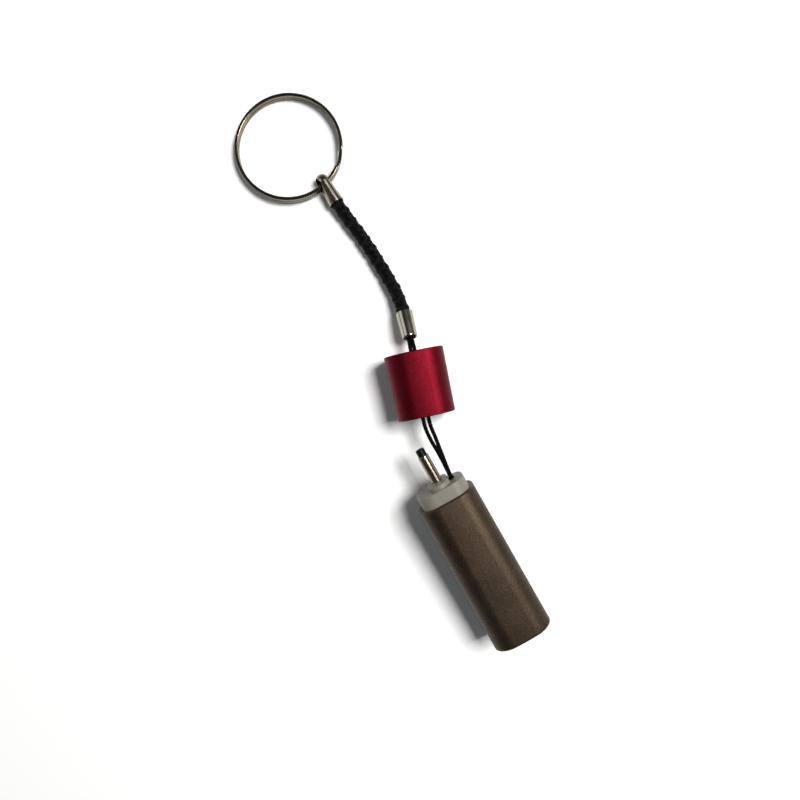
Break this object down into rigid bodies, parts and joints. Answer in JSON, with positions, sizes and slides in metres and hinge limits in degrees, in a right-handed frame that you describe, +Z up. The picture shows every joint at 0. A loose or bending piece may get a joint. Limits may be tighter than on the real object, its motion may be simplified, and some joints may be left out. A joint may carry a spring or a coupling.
{
  "type": "keychain flashlight",
  "caption": "Small bronze-coloured keychain torch with a charging pin in its end, a red slip-off cap on a braided lanyard, and a split key ring.",
  "frame": {"origin": "middle of the footprint of torch, cap and ring, on the surface that they lie on", "axes": "+Y from the torch's closed lens end to its charging end and on to the key ring, +Z up from the surface"},
  "size_m": [0.027, 0.1346, 0.0151],
  "materials": {
    "shell_bronze": "fine satin bronze anodised aluminium",
    "plug_gray": "moulded warm gray plastic",
    "pin_nickel": "nickel-plated, drawn",
    "black_plastic": "black moulded plastic",
    "contact_brass": "gold-plated brass",
    "steel": "plain steel",
    "sleeve_blue": "heat-shrunk film",
    "cradle_white": "moulded natural plastic",
    "board_green": "solder-masked laminate",
    "ferrite": "pressed ferrite",
    "lamp_clear": "clear polished acrylic",
    "led_white": "ceramic base with phosphor",
    "reflector_chrome": "vacuum-plated",
    "button_rubber": "soft black rubber",
    "cap_red": "satin crimson anodised aluminium",
    "fitting_nickel": "nickel-plated crimped metal",
    "ring_steel": "dark nickel-plated spring steel",
    "cord_black": "braided nylon",
    "loop_black": "waxed thin nylon cord"
  },
  "bodies": {
    "torch": {"shell": "shell_bronze", "end_plug": "plug_gray", "dc_barrel": "pin_nickel", "dc_insulator": "black_plastic", "dc_centre_contact": "contact_brass", "dc_solder_tabs": "contact_brass", "anchor_pin": "steel", "cell_can": "steel", "cell_gasket": "black_plastic", "cell_cap": "steel", "cell_sleeve": "sleeve_blue", "cell_strips": "steel", "cell_cradle": "cradle_white", "circuit_board": "board_green", "control_chip": "black_plastic", "chip_leads": "steel", "inductor": "ferrite", "chip_components": "black_plastic", "status_led": "led_white", "switch_body": "black_plastic", "lens_window": "lamp_clear", "reflector": "reflector_chrome", "lamp_board": "board_green", "led_base": "led_white", "led_dome": "lamp_clear", "lamp_wires": "contact_brass"},
    "button": {"push_button": "button_rubber", "switch_plunger": "cradle_white"},
    "lanyard": {"loop_cord": "loop_black", "ferrule": "fitting_nickel", "braided_cord": "cord_black", "clasp": "fitting_nickel"},
    "cap": {"cap": "cap_red"},
    "ring": {"key_ring": "ring_steel"}
  },
  "joints": [
    {"name": "button_press", "type": "slide", "parent": "torch", "child": "button", "axis": [0, -0.0698, 0.9976], "range_m": [0, 0.00025], "stiffness_N_per_m": 600, "springref_m": -0.0004},
    {"name": "lanyard_swing", "type": "hinge", "parent": "torch", "child": "lanyard", "pos_m": [-0.0036, -0.02941, 0.00837], "axis": [0, 0, -1], "range_deg": [-12, 12], "deforming": ["loop_cord"]},
    {"name": "cap_slide", "type": "slide", "parent": "lanyard", "child": "cap", "axis": [-0.293, -0.9559, -0.0206], "range_m": [-0.0012, 0.0055]},
    {"name": "ring_swing", "type": "hinge", "parent": "lanyard", "child": "ring", "pos_m": [0.00392, 0.04331, 0.00206], "axis": [0.9661, 0.2581, 0], "range_deg": [-60, 60]}
  ]
}
